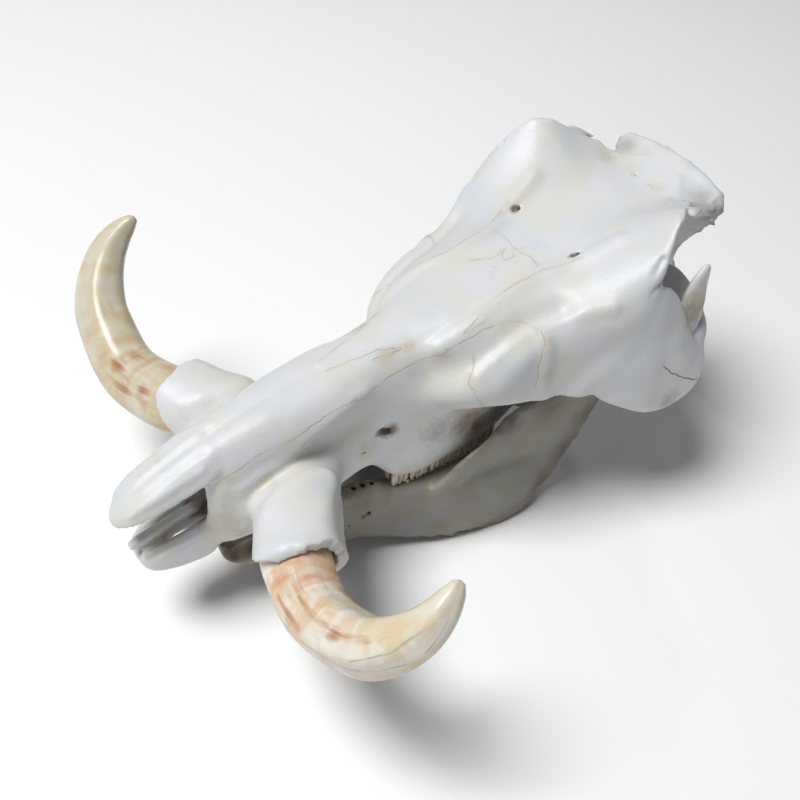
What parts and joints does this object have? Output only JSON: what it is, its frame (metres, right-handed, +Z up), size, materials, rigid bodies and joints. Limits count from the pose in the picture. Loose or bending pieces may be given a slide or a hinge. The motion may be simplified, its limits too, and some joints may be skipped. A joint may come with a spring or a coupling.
{
  "type": "warthog skull",
  "caption": "Warthog skull with lower jaw, long tapering snout, broad brow, deep cheek bones and large upper tusks that curve out, up and back; rests on the lower jaw.",
  "frame": {"origin": "on the surface the skull rests on, below the middle of its bounding box", "axes": "+X towards the snout, +Y to the animal's left, +Z up; the palate is parallel to the surface it rests on"},
  "size_m": [0.4119, 0.3548, 0.2256],
  "materials": {
    "bleached_bone": "dry bleached bone, satin on the roof and rough at breaks and crests",
    "jaw_bone": "dry bone, greyer and browner than the cranium, matt",
    "tusk_ivory": "cream ivory with long orange and brown streaks, polished by wear",
    "tooth_enamel": "ivory enamel with brown stain between its columns, satin"
  },
  "bodies": {
    "root": {"cranium": "bleached_bone", "mandible": "jaw_bone", "tusk_left": "tusk_ivory", "tusk_right": "tusk_ivory", "upper_premolar_left": "tooth_enamel", "upper_premolar_right": "tooth_enamel", "upper_second_molar_left": "tooth_enamel", "upper_second_molar_right": "tooth_enamel", "upper_third_molar_left": "tooth_enamel", "upper_third_molar_right": "tooth_enamel", "lower_second_molar_left": "tooth_enamel", "lower_second_molar_right": "tooth_enamel", "lower_third_molar_left": "tooth_enamel", "lower_third_molar_right": "tooth_enamel"}
  },
  "joints": []
}
